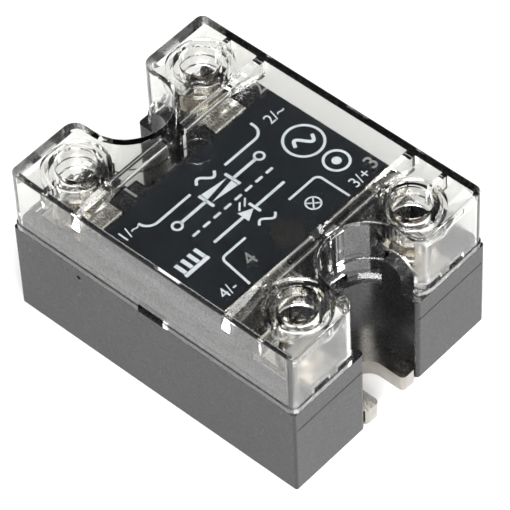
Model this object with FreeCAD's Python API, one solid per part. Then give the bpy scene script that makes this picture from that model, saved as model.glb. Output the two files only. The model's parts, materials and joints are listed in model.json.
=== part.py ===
"""Panel-mount solid state relay with a clear snap-on terminal cover.

Millimetres, +Z up. The origin is the centre of the mounting face. X runs across the
width. Y runs along the length, and +Y points to the output terminals 1 and 2.
The input terminals 3 and 4 are at -Y.
"""
import FreeCAD, Part
import math
import os

V = FreeCAD.Vector

# Overall sizes
WIDTH = 44.5
LENGTH = 58.4
HEIGHT = 31.0
SPLIT_Z = 18.1            # where the clear cover meets the housing
HALF_W = WIDTH / 2
HALF_L = LENGTH / 2

# End notches, which leave the baseplate bare round the two fixings
NOTCH_HALF = 6.2
NOTCH_ARC_Y = 24.7
NOTCH_MOUTH_R = 0.8
FIXING_Y = 23.8           # fixings are 47.6 apart

# Baseplate
PLATE_T = 3.1
PLATE_HALF_W = 20.2
PLATE_HALF_L = 27.2
TONGUE_HALF = 5.9
FIXING_R = 2.4
SLOT_HALF = 2.8
SLOT_ARC_Y = 24.5

# Housing above the split
UPPER_HALF_W = 20.75
UPPER_HALF_L = 27.7
UPPER_NOTCH = 8.45
WALL_TOP_Z = 22.8
WALL_END_R = 2.5
ISLAND_HALF_W = 19.7
ISLAND_HALF_L = 15.9
ISLAND_TOP_Z = 26.05
DECK_Z = 16.2             # floor of each terminal compartment
BAY_INNER_X = 9.45
BAY_OUTER_X = 19.55
BAY_END_Y = 28.0
CHEEK_Y = (22.4, 26.0)    # low cheek between each bay and the notch
CHEEK_TOP_Z = 23.6
RECESS_X = {1: (-8.0, 6.0), -1: (-4.9, 8.0)}   # step in the island behind each notch
RECESS_Y = 13.0
RECESS_WALL = 0.8

# Housing cavity
CAVITY_HALF_W = 17.6
CAVITY_HALF_L = 14.6
ROOF_Z = 24.3
LOBE_ROOF_Z = 9.8

# Clear cover
COVER_GAP = 0.1
COVER_INSET = 0.15
COVER_WALL = 1.15
COVER_TOP_T = 1.1
COVER_NOTCH = 7.4
NOTCH_WALL = 0.85
COVER_CORNER_R = 1.4
COVER_MOUTH_R = 2.4
BIB_NOTCH = 7.1           # thicker lower part of the notch wall
WINDOW_Y = (22.1, 27.4)   # wire window in each side of a notch
WINDOW_TOP_Z = 25.1
FLANGE_H = 1.0
TUBE_R = 3.4
TUBE_WALL = 1.0
TUBE_BOTTOM_Z = 26.2
SKIRT_R = 5.6
SKIRT_WALL = 0.7
SKIRT_BOTTOM_Z = 27.4
RIB_T = 1.65
RIB_Y = 15.45
RIB_DEPTH = 1.6
RIB_EDGE_R = 0.35
GUSSET_DEPTH = 3.5
GUSSET_RUN = 8.5
END_WEDGE = 1.6

# Terminals: number, screw position, screw and clamp sizes. Every thread is 32 per inch.
TERMINAL_Y = 22.2
OUTPUT_X = 14.2
INPUT_X = 13.0
STRAP_T = 1.0
STRAP_W = 7.0             # width of the tongue and of the saddle over the island's edge
STRAP_TOP_Z = 26.1
STRAP_LEG_Y = 12.5        # inner face of the leg
STRAP_DROP_Y = 17.2       # outer face of the drop
STRAP_END_Y = 26.9
SADDLE_LIMIT_X = 18.8
LEG_LIMIT_X = 17.3
DROP_LIMIT_X = 9.7
CLAMP_GAP = 0.2
CLAMP_T = 1.0
CLAMP_HALF_L = 4.7
LIP_T = 0.5
HEAD_GAP = 0.12
HEAD_H = 2.5
SHANK_BOTTOM_Z = 12.0
NUT_T = 2.8
THREAD_CLEARANCE = 0.05

TERMINALS = [
    {"n": 1, "x": -OUTPUT_X, "y": TERMINAL_Y, "shank": 2.05, "head": 3.9, "clamp": 8.2, "nut": 7.0},
    {"n": 2, "x": OUTPUT_X, "y": TERMINAL_Y, "shank": 2.05, "head": 3.9, "clamp": 8.2, "nut": 7.0},
    {"n": 3, "x": INPUT_X, "y": -TERMINAL_Y, "shank": 1.72, "head": 3.2, "clamp": 6.2, "nut": 5.6},
    {"n": 4, "x": -INPUT_X, "y": -TERMINAL_Y, "shank": 1.72, "head": 3.2, "clamp": 6.2, "nut": 5.6},
]

# Label and indicator
LABEL_T = 0.25
LABEL_HALF_W = 19.2
LABEL_HALF_L = 12.2
LED_X = -1.1
LED_Y = -9.6
LED_R = 2.75

# Electronics
SUBSTRATE_T = 0.63
SUBSTRATE_HALF_W = 17.4
DIE_T = 0.4
DIE_X = 7.0
PCB_Z = 12.0
PCB_T = 1.6
POTTING_Z = (5.2, 9.2)


def block(x0, x1, y0, y1, z0, z1):
    """A box between two corners."""
    return Part.makeBox(x1 - x0, y1 - y0, z1 - z0, V(x0, y0, z0))


def disc(x, y, z0, z1, r):
    """An upright cylinder."""
    return Part.makeCylinder(r, z1 - z0, V(x, y, z0))


def tube(x, y, z0, z1, r_out, r_in):
    """An upright pipe."""
    return disc(x, y, z0, z1, r_out).cut(disc(x, y, z0, z1, r_in))


def fuse_all(shapes):
    """One solid from several that touch."""
    return shapes[0].multiFuse(shapes[1:]).removeSplitter()


def upright_edges(shape, spots):
    """The vertical edges that stand on the given (x, y) spots."""
    found = []
    for edge in shape.Edges:
        ends = [v.Point for v in edge.Vertexes]
        if len(ends) != 2 or (ends[0] - ends[1]).cross(V(0, 0, 1)).Length > 1e-6:
            continue
        for x, y in spots:
            if math.hypot(ends[0].x - x, ends[0].y - y) < 1e-4:
                found.append(edge)
    return found


def notched_prism(half_w, half_l, notch, z0, z1):
    """A block whose two ends have a round-bottomed notch at mid-width."""
    edges = []
    for side in (-1, 1):
        spots = [V(side * half_w, 0, z0), V(side * half_w, side * -half_l, z0),
                 V(side * notch, side * -half_l, z0), V(side * notch, side * -NOTCH_ARC_Y, z0)]
        across = [V(-p.x, p.y, z0) for p in reversed(spots)]
        edges += [Part.LineSegment(a, b).toShape() for a, b in zip(spots, spots[1:])]
        apex = V(0, side * (notch - NOTCH_ARC_Y), z0)
        edges.append(Part.Arc(spots[-1], apex, across[0]).toShape())
        edges += [Part.LineSegment(a, b).toShape() for a, b in zip(across, across[1:])]
    wire = Part.Wire(Part.__sortEdges__(edges))
    return Part.Face(wire).extrude(V(0, 0, z1 - z0)).removeSplitter()


def corners(half_w, half_l):
    """The four corners of a centred rectangle."""
    return [(sx * half_w, sy * half_l) for sx in (-1, 1) for sy in (-1, 1)]


def baseplate():
    """Metal mounting plate: wide under the housing, with a bare tongue at each end."""
    wide = block(-PLATE_HALF_W, PLATE_HALF_W, -PLATE_HALF_L, PLATE_HALF_L, 0, PLATE_T)
    tongue = block(-TONGUE_HALF, TONGUE_HALF, -HALF_L, HALF_L, 0, PLATE_T)
    plate = fuse_all([wide, tongue])
    slot = disc(0, -SLOT_ARC_Y, -1, PLATE_T + 1, SLOT_HALF)
    mouth = block(-SLOT_HALF, SLOT_HALF, -HALF_L - 1, -SLOT_ARC_Y, -1, PLATE_T + 1)
    plate = plate.cut(fuse_all([slot, mouth]))
    plate = plate.cut(disc(0, FIXING_Y, -1, PLATE_T + 1, FIXING_R))
    plate = plate.makeFillet(0.8, upright_edges(plate, corners(TONGUE_HALF, HALF_L)))
    return plate.makeFillet(0.9, upright_edges(plate, [(-SLOT_HALF, -HALF_L), (SLOT_HALF, -HALF_L)]))


def rounded_door(xs, ys, z0, z1, r):
    """A block whose upper edge farthest from mid-length is rounded."""
    door = block(xs[0], xs[1], ys[0], ys[1], z0, z1)
    far = max(ys, key=abs)
    edge = [e for e in door.Edges if all(abs(v.Y - far) < 1e-4 and abs(v.Z - z1) < 1e-4 for v in e.Vertexes)]
    return door.makeFillet(r, edge)


def notch_cheeks():
    """Four low cheeks, flush with the notch sides, that shield the bays from the notches."""
    sides = notched_prism(BAY_INNER_X, HALF_L, NOTCH_HALF, SPLIT_Z, CHEEK_TOP_Z)
    doors = []
    for sy in (-1, 1):
        ys = sorted((sy * CHEEK_Y[0], sy * CHEEK_Y[1]))
        doors.append(rounded_door((-BAY_INNER_X, BAY_INNER_X), ys, SPLIT_Z, CHEEK_TOP_Z, 2.6))
    return [sides.common(door) for door in doors]


def notch_recess(sy, grow, floor):
    """Step in the island behind a notch, grown by the thickness of the wall round it."""
    x0, x1 = RECESS_X[sy]
    ys = sorted((sy * (RECESS_Y - grow), sy * 22.0))
    return block(x0 - grow, x1 + grow, ys[0], ys[1], floor, HEIGHT)


def housing_block():
    """Outside of the housing: lower block, inset upper walls, notch cheeks and the central island."""
    lower = notched_prism(HALF_W, HALF_L, NOTCH_HALF, 0, SPLIT_Z)
    lower = lower.makeFillet(0.45, upright_edges(lower, corners(HALF_W, HALF_L)))
    lower = lower.makeFillet(NOTCH_MOUTH_R, upright_edges(lower, corners(NOTCH_HALF, HALF_L)))
    upper = notched_prism(UPPER_HALF_W, UPPER_HALF_L, UPPER_NOTCH, SPLIT_Z, WALL_TOP_Z)
    ends = [e for e in upper.Edges if all(abs(abs(v.Y) - UPPER_HALF_L) < 1e-4 and
                                          abs(v.Z - WALL_TOP_Z) < 1e-4 for v in e.Vertexes)]
    upper = upper.makeFillet(WALL_END_R, ends)
    for sy in (-1, 1):
        ys = sorted((sy * CHEEK_Y[0], sy * HALF_L))
        upper = upper.cut(block(-BAY_INNER_X, BAY_INNER_X, ys[0], ys[1], SPLIT_Z, HEIGHT))
    island = block(-ISLAND_HALF_W, ISLAND_HALF_W, -ISLAND_HALF_L, ISLAND_HALF_L, SPLIT_Z, ISLAND_TOP_Z)
    rim = [e for e in island.Edges if all(abs(v.Z - ISLAND_TOP_Z) < 1e-4 for v in e.Vertexes)]
    island = island.makeChamfer(0.35, rim)
    return fuse_all([lower, upper, island] + notch_cheeks())


def saddle_span(term):
    """The strap's range in X on the island: to -X of an output screw, to +X of an input screw."""
    far = term["x"] - math.copysign(STRAP_W, term["y"])
    far = max(-SADDLE_LIMIT_X, min(SADDLE_LIMIT_X, far))
    return sorted((term["x"], far))


def leg_span(term):
    """The strap's range in X inside the housing."""
    return [max(-LEG_LIMIT_X, min(LEG_LIMIT_X, x)) for x in saddle_span(term)]


def drop_span(term):
    """The strap's range in X where it drops into its bay."""
    near = math.copysign(DROP_LIMIT_X, term["x"])
    pick = max if term["x"] > 0 else min
    return [pick(near, x) for x in saddle_span(term)]


def terminal_bay(term):
    """Space taken out of the housing for one terminal."""
    x, y = term["x"], term["y"]
    sx = math.copysign(1, x)
    sy = math.copysign(1, y)
    xs = sorted((sx * BAY_INNER_X, sx * BAY_OUTER_X))
    ys = sorted((sy * ISLAND_HALF_L, sy * BAY_END_Y))
    bay = block(xs[0], xs[1], ys[0], ys[1], DECK_Z, HEIGHT)
    half = term["nut"] / 2 + 0.1
    nut_pocket = block(x - half, x + half, y - half, y + half, DECK_Z - NUT_T - 0.1, DECK_Z)
    shank_hole = disc(x, y, SHANK_BOTTOM_Z - 0.8, DECK_Z, term["shank"] + 0.5)
    gap = 0.3
    saddle = saddle_span(term)
    ys = sorted((sy * (STRAP_LEG_Y - gap), sy * ISLAND_HALF_L))
    pocket = block(saddle[0] - gap, saddle[1] + gap, ys[0], ys[1], STRAP_TOP_Z - STRAP_T - 0.2, HEIGHT)
    leg = leg_span(term)
    ys = sorted((sy * (STRAP_LEG_Y - gap), sy * (STRAP_LEG_Y + STRAP_T + gap)))
    leg_slot = block(leg[0] - gap, leg[1] + gap, ys[0], ys[1], ROOF_Z - 1, HEIGHT)
    return [bay, nut_pocket, shank_hole, pocket, leg_slot]


def housing_cavity():
    """Hollow under the island and the lobes, and the seat for the baseplate."""
    half_w = PLATE_HALF_W + 0.15
    half_l = PLATE_HALF_L + 0.15
    seat = block(-half_w, half_w, -half_l, half_l, -1, PLATE_T)
    middle = block(-CAVITY_HALF_W, CAVITY_HALF_W, -CAVITY_HALF_L, CAVITY_HALF_L, 0, ROOF_Z)
    for sy in (-1, 1):
        middle = middle.cut(notch_recess(sy, RECESS_WALL, SPLIT_Z - RECESS_WALL))
    lobes = []
    for sx in (-1, 1):
        for sy in (-1, 1):
            xs = sorted((sx * 9.0, sx * CAVITY_HALF_W))
            ys = sorted((sy * (CAVITY_HALF_L - 1), sy * 26.6))
            lobes.append(block(xs[0], xs[1], ys[0], ys[1], 0, LOBE_ROOF_Z))
    return [seat, middle] + lobes


def pry_recess(sx):
    """Screwdriver recess at the foot of the cover, at mid-length on one side."""
    xs = sorted((sx * (UPPER_HALF_W - 2.2), sx * (HALF_W + 1)))
    return block(xs[0], xs[1], -2.6, 2.6, SPLIT_Z - 0.02, SPLIT_Z + 2.0)


def end_groove(sy):
    """Fine moulding line across an end face, a little below the split."""
    ys = sorted((sy * (HALF_L - 0.12), sy * (HALF_L + 1)))
    return block(-HALF_W + 0.6, HALF_W - 0.6, ys[0], ys[1], 14.0, 14.22)


def housing():
    """Dark moulded housing with four terminal bays and a roof for the label."""
    cuts = housing_cavity()
    for term in TERMINALS:
        cuts += terminal_bay(term)
    for side in (-1, 1):
        cuts.append(pry_recess(side))
        cuts.append(end_groove(side))
        cuts.append(notch_recess(side, 0, SPLIT_Z))
    cuts.append(disc(LED_X, LED_Y, SPLIT_Z + 0.3, HEIGHT, LED_R + 0.1))
    gate_mark = Part.makeCylinder(0.4, 0.3, V(-HALF_W, 15.3, 16.3), V(1, 0, 0))
    return housing_block().cut(fuse_all(cuts + [gate_mark]))


def label():
    """Thin printed plate on the island, with a hole for the indicator."""
    top = ISLAND_TOP_Z + LABEL_T
    plate = block(-LABEL_HALF_W, LABEL_HALF_W, -LABEL_HALF_L, LABEL_HALF_L, ISLAND_TOP_Z, top)
    plate = plate.makeFillet(0.8, upright_edges(plate, corners(LABEL_HALF_W, LABEL_HALF_L)))
    return plate.cut(disc(LED_X, LED_Y, ISLAND_TOP_Z - 1, HEIGHT, LED_R + 0.1))


def strap(term, foot_z):
    """Bent terminal strap: inner leg, saddle over the island's edge, drop and clamping tongue."""
    sy = math.copysign(1, term["y"])
    under = STRAP_TOP_Z - STRAP_T

    def span(xs, y_in, y_out, z0, z1):
        ys = sorted((sy * y_in, sy * y_out))
        return block(xs[0], xs[1], ys[0], ys[1], z0, z1)

    saddle = span(saddle_span(term), STRAP_LEG_Y, STRAP_DROP_Y, under, STRAP_TOP_Z)
    bends = [e for e in saddle.Edges if all(abs(v.Z - STRAP_TOP_Z) < 1e-4 for v in e.Vertexes)
             and abs(e.Vertexes[0].Y - e.Vertexes[1].Y) < 1e-4]
    saddle = saddle.makeFillet(0.7, bends)
    leg = span(leg_span(term), STRAP_LEG_Y, STRAP_LEG_Y + STRAP_T, foot_z, under)
    drop = span(drop_span(term), STRAP_DROP_Y - STRAP_T, STRAP_DROP_Y, DECK_Z, under)
    middle = [term["x"] - STRAP_W / 2, term["x"] + STRAP_W / 2]
    tongue = span(middle, STRAP_DROP_Y - STRAP_T, STRAP_END_Y, DECK_Z, DECK_Z + STRAP_T)
    bent = fuse_all([saddle, leg, drop, tongue])
    return bent.cut(disc(term["x"], term["y"], DECK_Z - 1, DECK_Z + STRAP_T + 1, term["shank"] + 0.3))


def nut(term):
    """Captive square nut under the strap."""
    half = term["nut"] / 2
    x, y = term["x"], term["y"]
    body = block(x - half, x + half, y - half, y + half, DECK_Z - NUT_T, DECK_Z)
    return body.cut(disc(x, y, 0, HEIGHT, term["shank"] + THREAD_CLEARANCE))


def clamp_z():
    """Height of the underside of a closed clamp plate."""
    return DECK_Z + STRAP_T + CLAMP_GAP


def clamp_plate(term):
    """Pressure plate with two turned-up ends, which presses a wire onto the strap."""
    x, y = term["x"], term["y"]
    half = term["clamp"] / 2
    z = clamp_z()
    solid = block(x - half, x + half, y - CLAMP_HALF_L, y + CLAMP_HALF_L, z, z + CLAMP_T + 0.5)
    inner = CLAMP_HALF_L - LIP_T
    solid = solid.cut(block(x - half - 1, x + half + 1, y - inner, y + inner, z + CLAMP_T, HEIGHT))
    tips = [(x + i * half, y + j * CLAMP_HALF_L) for i in (-1, 1) for j in (-1, 1)]
    solid = solid.makeFillet(0.6, upright_edges(solid, tips))
    return solid.cut(disc(x, y, 0, HEIGHT, term["shank"] + 0.25))


def screw(term):
    """Terminal screw with a domed head, a driver slot and a cross recess."""
    x, y, r = term["x"], term["y"], term["head"]
    z = clamp_z() + CLAMP_T + HEAD_GAP
    top = z + HEAD_H
    head = disc(x, y, z, top, r)
    rim = [e for e in head.Edges if all(abs(v.Z - top) < 1e-4 for v in e.Vertexes) and e.Closed]
    head = head.makeFillet(1.1, rim)
    slot = block(x - r - 1, x + r + 1, y - 0.55, y + 0.55, top - 1.1, top + 1)
    cross = block(x - 0.55, x + 0.55, y - 0.55 * r, y + 0.55 * r, top - 1.5, top + 1)
    shank = disc(x, y, SHANK_BOTTOM_Z, z, term["shank"])
    tip = [e for e in shank.Edges if e.Closed and abs(e.Vertexes[0].Z - SHANK_BOTTOM_Z) < 1e-4]
    shank = shank.makeChamfer(0.4, tip)
    return fuse_all([head.cut(slot).cut(cross), shank])


def cover_shell():
    """Clear cover without its towers: side walls, flat top and the foot flange."""
    foot = SPLIT_Z + COVER_GAP
    half_w = HALF_W - COVER_INSET
    half_l = HALF_L - COVER_INSET
    outer = notched_prism(half_w, half_l, COVER_NOTCH, foot, HEIGHT)
    outer = outer.makeFillet(COVER_CORNER_R, upright_edges(outer, corners(half_w, half_l)))
    outer = outer.makeFillet(COVER_MOUTH_R, upright_edges(outer, corners(COVER_NOTCH, half_l)))
    rim = [e for e in outer.Edges if all(abs(v.Z - HEIGHT) < 1e-4 for v in e.Vertexes)]
    outer = outer.makeFillet(0.35, rim)
    flange = notched_prism(HALF_W, HALF_L, COVER_NOTCH - COVER_INSET, foot, foot + FLANGE_H)
    flange = flange.makeFillet(COVER_CORNER_R, upright_edges(flange, corners(HALF_W, HALF_L)))
    mouths = corners(COVER_NOTCH - COVER_INSET, HALF_L)
    flange = flange.makeFillet(COVER_MOUTH_R, upright_edges(flange, mouths))
    in_w = half_w - COVER_WALL
    in_l = half_l - COVER_WALL
    inner = notched_prism(in_w, in_l, COVER_NOTCH + NOTCH_WALL, 0, HEIGHT - COVER_TOP_T)
    inner = inner.makeFillet(COVER_MOUTH_R - 1, upright_edges(inner, corners(COVER_NOTCH + NOTCH_WALL, in_l)))
    return fuse_all([outer, flange]).cut(inner)


def notch_bib(sy):
    """Thicker band round the lower part of the notch wall, with a gap at mid-width."""
    foot = SPLIT_Z + COVER_GAP
    ring = tube(0, sy * NOTCH_ARC_Y, foot, WALL_TOP_Z, COVER_NOTCH + NOTCH_WALL, BIB_NOTCH)
    ys = sorted((sy * 15.0, sy * WINDOW_Y[0]))
    return ring.common(block(-9, 9, ys[0], ys[1], 0, HEIGHT))


def end_wedge(side, sy):
    """Wedge in the corner between the top plate and an end wall, along one tower."""
    y = HALF_L - COVER_INSET - COVER_WALL + 0.05
    z = HEIGHT - COVER_TOP_T + 0.05
    x = 9.5 if side > 0 else -20.8
    profile = [V(x, sy * y, z), V(x, sy * (y - END_WEDGE), z), V(x, sy * y, z - END_WEDGE), V(x, sy * y, z)]
    return Part.Face(Part.makePolygon(profile)).extrude(V(11.3, 0, 0))


def centre_post(sy):
    """Square post that hangs from the top plate behind a notch, and the hub on the cross rib."""
    under = HEIGHT - COVER_TOP_T + 0.05
    ys = sorted((sy * 15.2, sy * 17.2))
    post = block(0.6, 3.0, ys[0], ys[1], 21.0, under)
    ys = sorted((sy * 14.3, sy * 16.6))
    return [post, block(-1.1, 1.1, ys[0], ys[1], 27.6, under)]


def cover_tower(term):
    """Driver guide tube over one screw, its outer skirt and the ribs that tie it to the walls."""
    x, y = term["x"], term["y"]
    under = HEIGHT - COVER_TOP_T + 0.05
    sx = math.copysign(1, x)
    sy = math.copysign(1, y)
    wall_x = sx * (HALF_W - COVER_INSET - COVER_WALL / 2)
    wall_y = sy * (HALF_L - COVER_INSET - COVER_WALL / 2)
    guide = tube(x, y, TUBE_BOTTOM_Z, under, TUBE_R + TUBE_WALL, TUBE_R)
    skirt = tube(x, y, SKIRT_BOTTOM_Z, under, SKIRT_R, SKIRT_R - SKIRT_WALL)
    xs = sorted((x + sx * (TUBE_R + 0.6), wall_x))
    side_rib = block(xs[0], xs[1], y - 0.5, y + 0.5, SKIRT_BOTTOM_Z - 0.4, under)
    ys = sorted((y + sy * (TUBE_R + 0.6), wall_y))
    end_rib = block(x - 0.5, x + 0.5, ys[0], ys[1], SKIRT_BOTTOM_Z + 0.6, under)
    ys = sorted((sy * RIB_Y, y - sy * (TUBE_R + 0.6)))
    inner_rib = block(x - 0.5, x + 0.5, ys[0], ys[1], SKIRT_BOTTOM_Z + 0.6, under)
    return [guide, skirt, side_rib, end_rib, inner_rib]


def cross_rib(sy):
    """Rib across the cover at the inner edge of two bays, with a gusset at each side wall."""
    half = HALF_W - COVER_INSET - COVER_WALL / 2
    top = HEIGHT - COVER_TOP_T + 0.05
    low = top - RIB_DEPTH
    deep = top - GUSSET_DEPTH
    left = [V(-half, 0, top), V(-half, 0, deep), V(-half + 1.4, 0, deep), V(-half + GUSSET_RUN, 0, low)]
    right = [V(-p.x, 0, p.z) for p in reversed(left)]
    profile = left + right + left[:1]
    wall = Part.Face(Part.makePolygon(profile)).extrude(V(0, RIB_T, 0))
    wall.translate(V(0, sy * RIB_Y - RIB_T / 2, 0))
    lower = [e for e in wall.Edges if all(abs(v.Z - low) < 1e-4 for v in e.Vertexes)
             and abs(e.Vertexes[0].Y - e.Vertexes[1].Y) < 1e-4]
    return wall.makeFillet(RIB_EDGE_R, lower)


def cover_cuts():
    """Driver holes, latch windows, pry notches and the wire windows beside the end notches."""
    cuts = []
    for term in TERMINALS:
        x = term["x"]
        cuts.append(disc(x, term["y"], TUBE_BOTTOM_Z - 1, HEIGHT + 1, TUBE_R))
        ys = sorted((math.copysign(HALF_L - 2, term["y"]), math.copysign(HALF_L + 1, term["y"])))
        for side in (-1, 1):
            middle = x + side * 2.65
            cuts.append(block(middle - 1.75, middle + 1.75, ys[0], ys[1], SPLIT_Z + 1.15, SPLIT_Z + 2.2))
    for side in (-1, 1):
        xs = sorted((side * (HALF_W - 2), side * (HALF_W + 1)))
        cuts.append(block(xs[0], xs[1], -2.6, 2.6, SPLIT_Z - 1, SPLIT_Z + 1.6))
        ys = sorted((side * 16.0, side * 19.0))
        cuts.append(block(-2.7, 2.7, ys[0], ys[1], SPLIT_Z - 1, SPLIT_Z + 2.0))
        for sy in (-1, 1):
            xs = sorted((side * 5.5, side * 9.2))
            ys = sorted((sy * WINDOW_Y[0], sy * WINDOW_Y[1]))
            cuts.append(rounded_door(xs, ys, SPLIT_Z - 1, WINDOW_TOP_Z, 3.5))
    return cuts


def safety_cover():
    """One-piece clear cover that snaps over the housing and keeps fingers off the terminals."""
    parts = [cover_shell()]
    for sy in (-1, 1):
        parts += [cross_rib(sy), notch_bib(sy), end_wedge(-1, sy), end_wedge(1, sy)] + centre_post(sy)
    for term in TERMINALS:
        parts += cover_tower(term)
    ring = tube(0, 9.8, HEIGHT - COVER_TOP_T - 0.15, HEIGHT - COVER_TOP_T + 0.05, 2.75, 2.5)
    return fuse_all(parts + [ring]).cut(fuse_all(cover_cuts()))


def led_lens():
    """Indicator light pipe that ends flush in the label."""
    z0 = PCB_Z + PCB_T + 5.2
    pipe = disc(LED_X, LED_Y, z0, ISLAND_TOP_Z + LABEL_T, LED_R)
    collar = disc(LED_X, LED_Y, ROOF_Z - 1.2, ROOF_Z, LED_R + 0.7)
    back = 0.1 - RECESS_Y + RECESS_WALL
    collar = collar.cut(block(LED_X - 5, LED_X + 5, back - 5, back, 0, HEIGHT))
    return fuse_all([pipe, collar])


def status_led():
    """Small round indicator lamp on the circuit board."""
    z0 = PCB_Z + PCB_T
    base = disc(LED_X, LED_Y, z0, z0 + 0.9, 1.9)
    body = disc(LED_X, LED_Y, z0, z0 + 3.4, 1.5)
    dome = Part.makeSphere(1.5, V(LED_X, LED_Y, z0 + 3.4))
    return fuse_all([base, body, dome])


def substrate():
    """Ceramic plate that carries the power chips on the baseplate."""
    return block(-SUBSTRATE_HALF_W, SUBSTRATE_HALF_W, -1.0, 14.0, PLATE_T, PLATE_T + SUBSTRATE_T)


def die(side):
    """Power thyristor chip."""
    z = PLATE_T + SUBSTRATE_T
    return block(side * DIE_X - 3.0, side * DIE_X + 3.0, 1.6, 7.6, z, z + DIE_T)


def die_clip(side):
    """Copper clip from the top of a chip towards the output strap."""
    z = PLATE_T + SUBSTRATE_T + DIE_T
    pad = block(side * DIE_X - 2.0, side * DIE_X + 2.0, 2.4, 8.4, z, z + 0.5)
    step = block(side * DIE_X - 2.0, side * DIE_X + 2.0, 8.4, 8.9, z - DIE_T, z + 0.5)
    foot = block(side * DIE_X - 2.0, side * DIE_X + 2.0, 8.4, 10.6, z - DIE_T, z - DIE_T + 0.5)
    return fuse_all([pad, step, foot])


def control_pcb():
    """Control board, notched where the straps pass."""
    board = block(-17.5, 17.5, -14.4, 9.6, PCB_Z, PCB_Z + PCB_T)
    for term in TERMINALS[2:]:
        xs = leg_span(term)
        far = -STRAP_LEG_Y - STRAP_T - 0.1
        board = board.cut(block(xs[0] - 0.1, xs[1] + 0.1, far, -STRAP_LEG_Y + 0.1, 0, HEIGHT))
    return board


def dip_package(x, y, length, width, height, pins, pitch):
    """Plastic package with two rows of pins that stand in the control board."""
    z = PCB_Z + PCB_T
    top = z + 0.5 + height
    body = block(x - length / 2, x + length / 2, y - width / 2, y + width / 2, z + 0.5, top)
    body = body.makeChamfer(0.3, [e for e in body.Edges if all(abs(v.Z - top) < 1e-4 for v in e.Vertexes)])
    legs = []
    for i in range(pins):
        px = x + (i - (pins - 1) / 2) * pitch
        for side in (-1, 1):
            ys = sorted((y + side * (width / 2 - 0.3), y + side * (width / 2 + 0.6)))
            legs.append(block(px - 0.3, px + 0.3, ys[0], ys[1], z, z + 0.5 + height / 2))
    return fuse_all([body] + legs)


def optocoupler():
    """Opto-isolator between the input and the gate drive."""
    return dip_package(-5.5, 1.8, 8.6, 6.4, 3.4, 3, 2.54)


def bridge_rectifier():
    """Input bridge rectifier."""
    return dip_package(-8.4, -7.4, 8.2, 5.2, 2.8, 2, 5.1)


def capacitor():
    """Smoothing capacitor of the input circuit."""
    can = disc(11.6, -4.6, PCB_Z + PCB_T, PCB_Z + PCB_T + 7.6, 3.1)
    rims = [e for e in can.Edges if e.Closed]
    return can.makeFillet(0.4, rims)


def resistors():
    """Chip resistors in a row on the control board."""
    z = PCB_Z + PCB_T
    return Part.Compound([block(4.0 + i * 3.0, 5.6 + i * 3.0, 3.0, 6.2, z, z + 0.6) for i in range(4)])


def gate_leads():
    """Two wires from the control board down to the gates of the power chips."""
    z0 = PLATE_T + SUBSTRATE_T
    return Part.Compound([disc(side * 2.4, 3.0, z0, PCB_Z, 0.4) for side in (-1, 1)])


def potting(others):
    """Cast resin over the power chips, formed round everything that passes through it."""
    low, high = POTTING_Z
    half_w = CAVITY_HALF_W - 0.05
    half_l = CAVITY_HALF_L - 0.05
    fill = block(-half_w, half_w, -half_l, half_l, low, high)
    return fill.cut(fuse_all(others))


def build():
    """Every piece of the relay by name."""
    strap_feet = {1: PLATE_T + SUBSTRATE_T, 2: PLATE_T + SUBSTRATE_T, 3: PCB_Z - 1.0, 4: PCB_Z - 1.0}
    nodes = {"baseplate": baseplate(), "housing": housing(), "label": label(), "led_lens": led_lens(),
             "status_led": status_led(), "ceramic_substrate": substrate(), "control_pcb": control_pcb(),
             "optocoupler": optocoupler(), "bridge_rectifier": bridge_rectifier(), "capacitor": capacitor(),
             "chip_resistors": resistors(), "gate_leads": gate_leads(), "safety_cover": safety_cover()}
    for name, side in (("a", -1), ("b", 1)):
        nodes["thyristor_die_" + name] = die(side)
        nodes["die_clip_" + name] = die_clip(side)
    for term in TERMINALS:
        n = str(term["n"])
        nodes["terminal_strap_" + n] = strap(term, strap_feet[term["n"]])
        nodes["captive_nut_" + n] = nut(term)
        nodes["clamp_plate_" + n] = clamp_plate(term)
        nodes["terminal_screw_" + n] = screw(term)
    through = [nodes["terminal_strap_1"], nodes["terminal_strap_2"], nodes["gate_leads"]]
    nodes["potting_compound"] = potting([s for shape in through for s in shape.Solids])
    return nodes


os.makedirs("parts", exist_ok=True)
for node, shape in build().items():
    assert shape.isValid(), node
    shape.exportStep("parts/" + node + ".step")
    print(node, len(shape.Solids), round(shape.Volume, 1))
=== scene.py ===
"""Looks of the panel-mount solid state relay: materials, print, raised numbers, camera and studio."""
import json
import math

import bmesh
import bpy
from mathutils import Matrix, Vector


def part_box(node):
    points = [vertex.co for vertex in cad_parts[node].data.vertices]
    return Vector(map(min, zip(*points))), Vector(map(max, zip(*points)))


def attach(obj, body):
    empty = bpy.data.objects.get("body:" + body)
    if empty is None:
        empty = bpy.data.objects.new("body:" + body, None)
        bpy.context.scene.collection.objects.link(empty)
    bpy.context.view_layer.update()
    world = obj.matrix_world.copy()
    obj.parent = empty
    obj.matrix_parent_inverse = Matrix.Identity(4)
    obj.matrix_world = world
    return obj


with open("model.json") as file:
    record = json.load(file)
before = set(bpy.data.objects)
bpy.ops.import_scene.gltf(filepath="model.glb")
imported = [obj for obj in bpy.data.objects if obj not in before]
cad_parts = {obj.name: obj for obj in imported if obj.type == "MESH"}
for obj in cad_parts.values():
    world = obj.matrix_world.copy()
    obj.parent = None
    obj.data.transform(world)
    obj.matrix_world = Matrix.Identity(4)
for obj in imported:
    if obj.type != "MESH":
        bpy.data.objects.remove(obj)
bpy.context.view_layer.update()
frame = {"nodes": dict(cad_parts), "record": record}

MM = 0.001
PRINT_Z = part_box("label")[1].z
COVER_TOP_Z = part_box("safety_cover")[1].z

# Most of a noise's values lie between these two.
NOISE_LOW = 0.3
NOISE_HIGH = 0.7


# ---------------------------------------------------------------- node helpers

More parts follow.
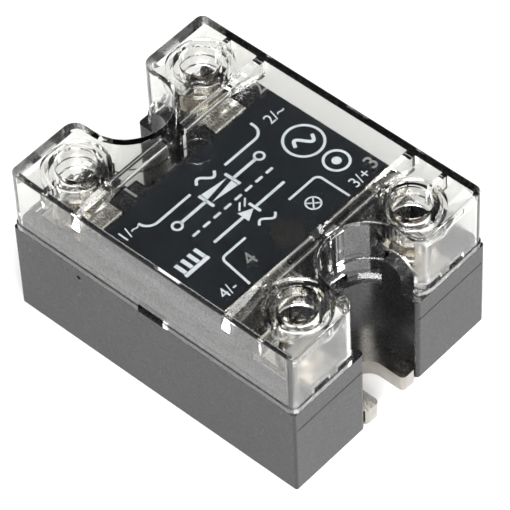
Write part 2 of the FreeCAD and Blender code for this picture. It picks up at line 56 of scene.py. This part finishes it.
class Nodes:
    """A material and short ways to add nodes to it. Coordinates are the object's own, in metres."""

    def __init__(self, name):
        self.mat = bpy.data.materials.new(name)
        self.mat.use_nodes = True
        self.tree = self.mat.node_tree
        self.shader = self.tree.nodes["Principled BSDF"]
        self.out = self.tree.nodes["Material Output"]
        self.coords = self.tree.nodes.new("ShaderNodeTexCoord").outputs["Object"]

    def link(self, source, socket):
        self.tree.links.new(source, socket)

    def set(self, **values):
        """Constant values on the shader's own sockets; underscores stand for spaces."""
        for key, value in values.items():
            socket = self.shader.inputs[key.replace("_", " ")]
            socket.default_value = (*value, 1.0) if isinstance(value, tuple) else value
        return self

    def noise(self, size, detail=3.0, stretch=(1, 1, 1)):
        """Noise whose features are about size millimetres across."""
        mapping = self.tree.nodes.new("ShaderNodeMapping")
        mapping.inputs["Scale"].default_value = stretch
        self.link(self.coords, mapping.inputs["Vector"])
        node = self.tree.nodes.new("ShaderNodeTexNoise")
        node.inputs["Scale"].default_value = 1.0 / (size * MM)
        node.inputs["Detail"].default_value = detail
        self.link(mapping.outputs[0], node.inputs["Vector"])
        return node.outputs["Fac"]

    def spread(self, source, low, high):
        """Maps a noise to a range of values."""
        node = self.tree.nodes.new("ShaderNodeMapRange")
        node.inputs["From Min"].default_value = NOISE_LOW
        node.inputs["From Max"].default_value = NOISE_HIGH
        node.inputs["To Min"].default_value = low
        node.inputs["To Max"].default_value = high
        self.link(source, node.inputs["Value"])
        return node.outputs[0]

    def ramp(self, source, low, high, start=NOISE_LOW, end=NOISE_HIGH):
        """Maps a grey value to a blend of two colours."""
        node = self.tree.nodes.new("ShaderNodeValToRGB")
        node.color_ramp.elements[0].position = start
        node.color_ramp.elements[1].position = end
        node.color_ramp.elements[0].color = (*low, 1)
        node.color_ramp.elements[1].color = (*high, 1)
        self.link(source, node.inputs["Fac"])
        return node.outputs["Color"]

    def bump(self, source, height, strength=0.5):
        """A bump of the given height in millimetres."""
        node = self.tree.nodes.new("ShaderNodeBump")
        node.inputs["Distance"].default_value = height * MM
        node.inputs["Strength"].default_value = strength
        self.link(source, node.inputs["Height"])
        return node.outputs["Normal"]

    def maths(self, operation, *values):
        """A math node on its values, each of them a number or another node's output."""
        node = self.tree.nodes.new("ShaderNodeMath")
        node.operation = operation
        for value, socket in zip(values, node.inputs):
            if isinstance(value, bpy.types.NodeSocket):
                self.link(value, socket)
            else:
                socket.default_value = value
        return node.outputs[0]

    def step_up(self, base, more, near, far):
        """Adds more to base where |y| lies between near and far millimetres."""
        split = self.tree.nodes.new("ShaderNodeSeparateXYZ")
        self.link(self.coords, split.inputs[0])
        size = self.maths("ABSOLUTE", split.outputs["Y"])
        beyond = self.maths("GREATER_THAN", size, near * MM)
        within = self.maths("LESS_THAN", size, far * MM)
        band = self.maths("MULTIPLY", beyond, within)
        return self.maths("MULTIPLY_ADD", band, more, base)

    def colour(self, source):
        self.link(source, self.shader.inputs["Base Color"])
        return self

    def roughness(self, source):
        self.link(source, self.shader.inputs["Roughness"])
        return self

    def normal(self, source):
        self.link(source, self.shader.inputs["Normal"])
        return self


# ---------------------------------------------------------------- materials

def moulded_plastic():
    """Dark grey glass-filled housing plastic with a fine spark-eroded grain."""
    m = Nodes("housing_plastic").set(IOR=1.55)
    grain = m.noise(0.16, detail=2)
    cloud = m.noise(9.0, detail=2)
    m.colour(m.ramp(cloud, (0.007, 0.007, 0.008), (0.011, 0.011, 0.012)))
    m.roughness(m.spread(m.noise(0.5), 0.22, 0.31))
    return m.normal(m.bump(grain, 0.0012)).mat


def printed_film():
    """Near-black label film, smooth with a slight orange peel."""
    m = Nodes("label_film").set(IOR=1.5)
    m.colour(m.ramp(m.noise(4.0), (0.006, 0.007, 0.009), (0.009, 0.011, 0.013)))
    m.roughness(m.spread(m.noise(0.8), 0.18, 0.27))
    return m.normal(m.bump(m.noise(0.7, detail=1), 0.004)).mat


def print_ink():
    """Pale grey-white screen print."""
    m = Nodes("print_ink").set(IOR=1.5)
    m.colour(m.ramp(m.noise(0.25), (0.35, 0.38, 0.41), (0.44, 0.47, 0.50)))
    return m.roughness(m.spread(m.noise(0.4), 0.4, 0.6)).mat


# The end walls' inner faces lie between these distances from the middle, in millimetres.
FROSTED_Y = (27.6, 28.3)
FROST = 0.20        # their added roughness


def clear_polycarbonate():
    """Clear moulded cover: bends light, and lets lamps through to what it covers."""
    m = Nodes("clear_polycarbonate")
    m.set(Base_Color=(0.93, 0.93, 0.915), IOR=1.57, Transmission_Weight=1.0)
    ripple = m.noise(6.0, detail=1)
    m.normal(m.bump(ripple, 0.03, 0.35))
    polished = m.spread(m.noise(3.0), 0.015, 0.05)
    m.roughness(m.step_up(polished, FROST, *FROSTED_Y))
    clear = m.tree.nodes.new("ShaderNodeBsdfTransparent")
    clear.inputs["Color"].default_value = (0.88, 0.88, 0.87, 1)
    path = m.tree.nodes.new("ShaderNodeLightPath")
    mix = m.tree.nodes.new("ShaderNodeMixShader")
    m.link(path.outputs["Is Shadow Ray"], mix.inputs["Fac"])
    m.link(m.shader.outputs[0], mix.inputs[1])
    m.link(clear.outputs[0], mix.inputs[2])
    m.link(mix.outputs[0], m.out.inputs["Surface"])
    return m.mat


def moulded_mark():
    """Frosted raised numbers on the clear cover."""
    m = Nodes("moulded_mark").set(Base_Color=(0.55, 0.55, 0.54), IOR=1.57, Transmission_Weight=0.85)
    return m.roughness(m.spread(m.noise(0.5), 0.35, 0.5)).mat


def metal(name, low, high, rough=(0.2, 0.34), grain=0.3, stretch=(1, 1, 1), height=0.006):
    """Plated metal with fine streaks or speckle."""
    m = Nodes(name).set(Metallic=1.0)
    m.colour(m.ramp(m.noise(2.5), low, high))
    m.roughness(m.spread(m.noise(grain, stretch=stretch), *rough))
    return m.normal(m.bump(m.noise(grain, stretch=stretch), height)).mat


def board():
    """Green solder mask with faint copper tracks under it."""
    m = Nodes("board_green").set(IOR=1.5, Coat_Weight=0.3)
    tracks = m.noise(1.2, stretch=(1, 0.2, 1))
    m.colour(m.ramp(tracks, (0.012, 0.10, 0.04), (0.03, 0.19, 0.07), 0.48, 0.52))
    return m.roughness(m.spread(m.noise(0.6), 0.28, 0.42)).mat


def plain(name, low, high, rough, size=1.0, height=0.004):
    """Simple moulded or cast surface with a little mottling of its colour and roughness."""
    m = Nodes(name)
    m.colour(m.ramp(m.noise(size), low, high))
    m.roughness(m.spread(m.noise(size * 0.6), rough - 0.06, rough + 0.06))
    return m.normal(m.bump(m.noise(size * 0.4), height)).mat


def smoked_lens():
    """Dark indicator lens."""
    m = Nodes("lens_smoke").set(IOR=1.5, Coat_Weight=0.5, Coat_Roughness=0.05)
    m.colour(m.ramp(m.noise(1.5), (0.010, 0.010, 0.010), (0.017, 0.017, 0.017)))
    return m.roughness(m.spread(m.noise(0.5), 0.14, 0.24)).mat


METALS = {
    "nickel_plate": {"low": (0.36, 0.34, 0.31), "high": (0.45, 0.43, 0.40), "rough": (0.10, 0.18),
                     "grain": 0.25, "stretch": (0.3, 1, 1), "height": 0.0015},
    "strap_metal": {"low": (0.60, 0.58, 0.53), "high": (0.74, 0.72, 0.66), "rough": (0.20, 0.32),
                    "stretch": (1, 0.4, 0.4), "height": 0.002},
    "zinc_steel": {"low": (0.52, 0.50, 0.46), "high": (0.66, 0.64, 0.60), "rough": (0.24, 0.36)},
    "screw_steel": {"low": (0.40, 0.36, 0.31), "high": (0.52, 0.48, 0.42), "rough": (0.18, 0.3),
                    "grain": 0.2},
    "can_aluminium": {"low": (0.70, 0.70, 0.72), "high": (0.80, 0.80, 0.82), "rough": (0.25, 0.38),
                      "grain": 0.2, "stretch": (1, 1, 0.1)},
    "tinned_wire": {"low": (0.60, 0.60, 0.60), "high": (0.72, 0.72, 0.72)},
    "copper": {"low": (0.70, 0.33, 0.18), "high": (0.80, 0.42, 0.26)},
}
PLAIN_SURFACES = {
    "led_epoxy": {"low": (0.06, 0.36, 0.08), "high": (0.10, 0.46, 0.12), "rough": 0.16},
    "ceramic": {"low": (0.78, 0.78, 0.75), "high": (0.86, 0.86, 0.84), "rough": 0.5},
    "chip_plastic": {"low": (0.02, 0.02, 0.02), "high": (0.035, 0.035, 0.035), "rough": 0.5,
                     "size": 0.5, "height": 0.01},
    "silicon": {"low": (0.09, 0.09, 0.11), "high": (0.13, 0.13, 0.16), "rough": 0.15},
    "potting_resin": {"low": (0.02, 0.02, 0.02), "high": (0.04, 0.04, 0.042), "rough": 0.3,
                      "size": 3.0, "height": 0.05},
}
MATERIALS = {
    "housing_plastic": moulded_plastic(),
    "label_black": printed_film(),
    "clear_polycarbonate": clear_polycarbonate(),
    "lens_smoke": smoked_lens(),
    "board_green": board(),
    **{name: metal(name, **look) for name, look in METALS.items()},
    **{name: plain(name, **look) for name, look in PLAIN_SURFACES.items()},
}
INK = print_ink()


def dress_cad_nodes():
    """Gives every CAD node the material of its slot in the record."""
    for row in frame["record"]["subparts"]:
        node = frame["nodes"][row["node"]]
        node.data.materials.clear()
        node.data.materials.append(MATERIALS[row["material_slot"]])


# ---------------------------------------------------------------- print and raised numbers

# The layout is in millimetres, in the frame's X and Y. Terminals 1 and 2 are at the +Y end.
PRINT_T = 0.02 * MM
WAVE_STEPS = 20
MITRE_LIMIT = 0.35


def finish_piece(mesh, name, material, body):
    """Puts a finished mesh in the scene and on its body."""
    piece = bpy.data.objects.new(name, mesh)
    bpy.context.scene.collection.objects.link(piece)
    mesh.materials.append(material)
    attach(piece, body)


def thicken(bm, z0, z1):
    """Turns the flat faces of bm into a closed plate from z0 to z1."""
    for vert in bm.verts:
        vert.co.z = z0
    top = bmesh.ops.extrude_face_region(bm, geom=list(bm.faces))
    moved = [g for g in top["geom"] if isinstance(g, bmesh.types.BMVert)]
    bmesh.ops.translate(bm, verts=moved, vec=(0, 0, z1 - z0))
    bmesh.ops.recalc_face_normals(bm, faces=bm.faces)


def arc(cx, cy, r, start, end, steps=12):
    """Points on an arc, in millimetres and degrees."""
    angles = [math.radians(start + (end - start) * i / steps) for i in range(steps + 1)]
    return [(cx + r * math.cos(a), cy + r * math.sin(a)) for a in angles]


def add_stroke(bm, points, width, closed=False):
    """Adds a flat ribbon of even width along points, mitred at its corners."""
    pts = [Vector(p) for p in points]
    count = len(pts)
    rails = []
    for i, p in enumerate(pts):
        before = pts[i - 1] if closed or i else None
        after = pts[(i + 1) % count] if closed or i < count - 1 else None
        d1 = (p - before).normalized() if before is not None else (after - p).normalized()
        d2 = (after - p).normalized() if after is not None else d1
        side = Vector((-(d1 + d2).y, (d1 + d2).x)).normalized()
        reach = width / 2 / max(MITRE_LIMIT, side.dot(Vector((-d1.y, d1.x))))
        rails.append([bm.verts.new(((p + side * s * reach) * MM).to_3d()) for s in (1, -1)])
    pairs = list(zip(rails, rails[1:] + rails[:1])) if closed else list(zip(rails, rails[1:]))
    for (a, b), (c, d) in pairs:
        bm.faces.new((a, b, d, c))


def add_shape(bm, points):
    """Adds a filled flat outline."""
    bm.faces.new([bm.verts.new((x * MM, y * MM, 0)) for x, y in points])


def circle(cx, cy, r, steps):
    """Points round a full circle, the first not repeated."""
    return arc(cx, cy, r, 0, 360, steps)[:-1]


def wave(cx, cy, length, height):
    """Points of one period of a sine, the usual sign for alternating current."""
    parts = [i / WAVE_STEPS for i in range(WAVE_STEPS + 1)]
    return [(cx + length * (t - 0.5), cy + height / 2 * math.sin(2 * math.pi * t)) for t in parts]


def print_piece(name, strokes=(), shapes=()):
    """One piece of print. Strokes are (points, width) or, where closed, (points, width, True)."""
    bm = bmesh.new()
    for stroke in strokes:
        add_stroke(bm, *stroke)
    for shape in shapes:
        add_shape(bm, shape)
    thicken(bm, PRINT_Z, PRINT_Z + PRINT_T)
    mesh = bpy.data.meshes.new(name)
    bm.to_mesh(mesh)
    bm.free()
    finish_piece(mesh, name, INK, "relay")


def glyph_mesh(text, size, thickness):
    """A mesh of a number or sign, centred on the origin, lying flat."""
    curve = bpy.data.curves.new("glyph", "FONT")
    curve.body = text
    curve.size = size * MM
    curve.extrude = thickness / 2
    curve.align_x = "CENTER"
    curve.align_y = "CENTER"
    maker = bpy.data.objects.new("glyph", curve)
    bpy.context.scene.collection.objects.link(maker)
    bpy.context.view_layer.update()
    ready = maker.evaluated_get(bpy.context.evaluated_depsgraph_get())
    mesh = bpy.data.meshes.new_from_object(ready)
    bpy.data.objects.remove(maker)
    bpy.data.curves.remove(curve)
    return mesh


def lay_glyph(text, x, y, z, size, thickness):
    """Mesh of a number or sign, flat at x, y in millimetres, its underside at z in metres."""
    mesh = glyph_mesh(text, size, thickness)
    mesh.transform(Matrix.Translation((x * MM, y * MM, z + thickness / 2)))
    return mesh


def output_print():
    """Line that joins the output terminals, with the sign for alternating current in its gap."""
    y, line = 7.0, 0.46
    left = arc(-12.4, 9.1, 2.1, 180, 270) + [(-5.0, y)]
    right = [(2.9, y)] + arc(9.9, 9.1, 2.1, 270, 360) + [(12.0, 9.8)]
    print_piece("print_output_line", [(left, line), (right, line)])
    print_piece("print_output_sign", [(wave(-1.0, 7.5, 4.0, 1.6), 0.5)])


def thyristor_print():
    """Generic sign of the output switch: two terminals and a pair of opposed triangles."""
    y, line = 4.2, 0.55
    strokes = [([(-10.2, y), (-4.4, y)], line), ([(1.6, y), (7.0, y)], line),
               (circle(-11.0, y, 0.8, 24), 0.4, True), (circle(7.8, y, 0.8, 24), 0.4, True),
               ([(-4.4, y - 1.6), (-4.4, y + 1.6)], line), ([(1.6, y - 1.6), (1.6, y + 1.6)], line)]
    shapes = [[(-4.0, y + 1.5), (-4.0, y + 0.1), (1.2, y + 0.8)],
              [(1.2, y - 0.1), (1.2, y - 1.5), (-4.0, y - 0.8)]]
    print_piece("print_thyristor_sign", strokes, shapes)


def barrier_print():
    """Dashed line for the insulation between output and input."""
    dashes = [([(x, 1.0), (x + 1.5, 1.0)], 0.45) for x in (-11.0 + 2.4 * i for i in range(8))]
    print_piece("print_barrier_line", dashes)


def diode_print():
    """Generic sign of the input lamp: a diode between two lines, with two light rays."""
    y, line = -2.3, 0.5
    strokes = [([(-9.8, y), (-3.2, y)], line), ([(-0.2, y), (6.3, y)], line),
               ([(-0.5, y - 1.2), (-0.5, y + 1.2)], line)]
    for x in (-2.6, -1.4):
        strokes.append(([(x, y + 1.3), (x + 1.3, y + 2.4)], 0.3))
    shapes = [[(-3.2, y - 1.2), (-0.8, y), (-3.2, y + 1.2)]]
    print_piece("print_diode_sign", strokes, shapes)


def input_print():
    """Brackets that lead from the input sign to the input terminals."""
    line = 0.42
    left = [(-6.0, -5.3)] + arc(-10.6, -6.3, 1.0, 90, 180, 8) + [(-12.4, -11.9)]
    right = [(4.0, -5.3)] + arc(9.6, -6.3, 1.0, 90, 0, 8) + [(10.6, -11.9)]
    print_piece("print_input_line", [(left, line), (right, line)])
    print_piece("print_input_sign", [(wave(-1.0, -5.3, 3.6, 1.3), 0.42)])


def lamp_print():
    """Lamp sign beside the indicator: a ring with a cross, one bar of it broken at the middle."""
    x, y, r = 5.9, -8.6, 1.25
    print_piece("print_lamp_ring", [(circle(x, y, r, 28), 0.28, True)])
    line, gap, reach = 0.26, 0.13, r * 0.72
    print_piece("print_lamp_cross", [([(x - reach, y - reach), (x + reach, y + reach)], line),
                                     ([(x - reach, y + reach), (x - gap, y + gap)], line),
                                     ([(x + gap, y - gap), (x + reach, y - reach)], line)])


def pictograms():
    """Plain generic signs at the label's edge: a wave in a disc, a dot in a ring and heat sink fins."""
    cx, cy, r = 14.6, 1.0, 3.3
    print_piece("print_wave_disc", [(circle(cx, cy, r, 48), 0.45, True), (wave(cx, cy, 3.8, 2.2), 0.6)])
    cx, cy = 14.8, -5.6
    print_piece("print_dot_ring", [(circle(cx, cy, 2.1, 36), 0.45, True)], [circle(cx, cy, 0.8, 24)])
    base = [(-17.6, -3.9), (-12.4, -3.9), (-12.4, -3.2), (-17.6, -3.2)]
    fins = [[(x, -3.1), (x + 0.7, -3.1), (x + 0.7, -0.9), (x, -0.9)]
            for x in (-17.4 + 1.42 * i for i in range(4))]
    print_piece("print_heat_sink", shapes=[base] + fins)


PRINTED_SIZE = 2.9      # text sizes in millimetres
RAISED_SIZE = 3.6
RAISED_T = 0.14 * MM
RAISED_SINK = 0.02 * MM


def terminal_numbers():
    """Printed terminal numbers with their signs, and raised numbers on the clear cover's top."""
    printed = {1: ("1/~", -16.7, 8.9), 2: ("2/~", 15.8, 8.0),
               3: ("3/+", 14.4, -10.8), 4: ("4/-", -15.4, -10.3)}
    for number, (text, x, y) in printed.items():
        mesh = lay_glyph(text, x, y, PRINT_Z, PRINTED_SIZE, PRINT_T)
        finish_piece(mesh, f"print_terminal_{number}", INK, "relay")
    raised = {1: (-13.2, 11.4), 2: (15.6, 11.1), 3: (15.1, -12.5), 4: (-11.3, -11.2)}
    frosted = moulded_mark()
    for number, (x, y) in raised.items():
        mesh = lay_glyph(str(number), x, y, COVER_TOP_Z - RAISED_SINK, RAISED_SIZE, RAISED_T)
        finish_piece(mesh, f"moulded_number_{number}", frosted, "cover")


# ---------------------------------------------------------------- camera

CAMERA_AZIMUTH = -46.04
CAMERA_ELEVATION = 49.62
CAMERA_ROLL = -2.88
CAMERA_DISTANCE = 576.75 * MM
CAMERA_AIM = Vector((0, 0, 14 * MM))
CAMERA_SHIFT = (0.98 * MM, -0.46 * MM)      # to the right and up, in the picture
CAMERA_LENS = 260.7
SENSOR = 36.0


def towards_camera():
    """Direction from the relay to the camera."""
    az, el = math.radians(CAMERA_AZIMUTH), math.radians(CAMERA_ELEVATION)
    return Vector((math.sin(az) * math.cos(el), -math.cos(az) * math.cos(el), math.sin(el)))


def camera():
    """Long-lens camera at three-quarter view from above, at the corner of terminal 4."""
    az, roll = math.radians(CAMERA_AZIMUTH), math.radians(CAMERA_ROLL)
    back = towards_camera()
    level = Vector((math.cos(az), math.sin(az), 0))
    rise = back.cross(level)
    right = math.cos(roll) * level + math.sin(roll) * rise
    up = -math.sin(roll) * level + math.cos(roll) * rise
    data = bpy.data.cameras.new("camera")
    data.lens = CAMERA_LENS
    data.sensor_width = SENSOR
    data.clip_start = 0.01
    cam = bpy.data.objects.new("camera", data)
    bpy.context.scene.collection.objects.link(cam)
    place = CAMERA_AIM + back * CAMERA_DISTANCE + right * CAMERA_SHIFT[0] + up * CAMERA_SHIFT[1]
    turn = Matrix((right, up, back)).transposed().to_4x4()
    cam.matrix_world = Matrix.Translation(place) @ turn
    bpy.context.scene.camera = cam


# ---------------------------------------------------------------- studio

FLOOR_HALF = 1.2
FLOOR_GAP = 0.02 * MM


def paper_floor():
    """Plain pale floor, a hair below the baseplate."""
    bm = bmesh.new()
    bmesh.ops.create_grid(bm, x_segments=8, y_segments=8, size=FLOOR_HALF)
    mesh = bpy.data.meshes.new("floor")
    bm.to_mesh(mesh)
    bm.free()
    floor = bpy.data.objects.new("floor", mesh)
    bpy.context.scene.collection.objects.link(floor)
    floor.location.z = -FLOOR_GAP
    paper = Nodes("paper").set(Base_Color=(0.92, 0.92, 0.92), Roughness=0.9)
    mesh.materials.append(paper.mat)


def soft_light(name, place, target, size, power):
    """Square soft light at place, facing target. Lengths are in metres and power in watts."""
    data = bpy.data.lights.new(name, "AREA")
    data.shape = "SQUARE"
    data.size = size
    data.energy = power
    lamp = bpy.data.objects.new(name, data)
    bpy.context.scene.collection.objects.link(lamp)
    lamp.location = place
    lamp.rotation_euler = (Vector(target) - Vector(place)).to_track_quat("-Z", "Y").to_euler()


SURROUNDINGS_GREY = (0.70, 0.70, 0.70, 1)
SCREEN_GREY = (0.03, 0.03, 0.03, 1)
SCREEN_OUTSIDE = 0.80
SCREEN_INSIDE = 0.90


def surroundings():
    """Pale all round, with a dark screen where the camera sees the sky mirrored in level faces.

    The screen fades between two cosines of the angle from its middle, SCREEN_OUTSIDE and SCREEN_INSIDE.
    """
    back = towards_camera()
    world = bpy.data.worlds.new("studio")
    world.use_nodes = True
    tree = world.node_tree
    direction = tree.nodes.new("ShaderNodeTexCoord").outputs["Generated"]
    closeness = tree.nodes.new("ShaderNodeVectorMath")
    closeness.operation = "DOT_PRODUCT"
    closeness.inputs[1].default_value = (-back.x, -back.y, back.z)
    tree.links.new(direction, closeness.inputs[0])
    ramp = tree.nodes.new("ShaderNodeValToRGB")
    ramp.color_ramp.elements[0].position = SCREEN_OUTSIDE
    ramp.color_ramp.elements[1].position = SCREEN_INSIDE
    ramp.color_ramp.elements[0].color = SURROUNDINGS_GREY
    ramp.color_ramp.elements[1].color = SCREEN_GREY
    tree.links.new(closeness.outputs["Value"], ramp.inputs["Fac"])
    tree.links.new(ramp.outputs["Color"], tree.nodes["Background"].inputs["Color"])
    bpy.context.scene.world = world


def lights():
    """Two soft lights: a high one on the camera's side and a lower one on the right."""
    centre = (0, 0, 0.015)
    soft_light("light_front", (-0.352, -0.269, 0.461), centre, 0.40, 4.9)
    soft_light("light_key", (0.60, -0.22, 0.36), centre, 0.32, 4.2)


camera()
paper_floor()
surroundings()
lights()
dress_cad_nodes()
output_print()
thyristor_print()
barrier_print()
diode_print()
input_print()
lamp_print()
pictograms()
terminal_numbers()

scene = bpy.context.scene
scene.view_settings.view_transform = "Standard"
scene.cycles.max_bounces = 24
scene.cycles.transmission_bounces = 20
scene.cycles.transparent_max_bounces = 24
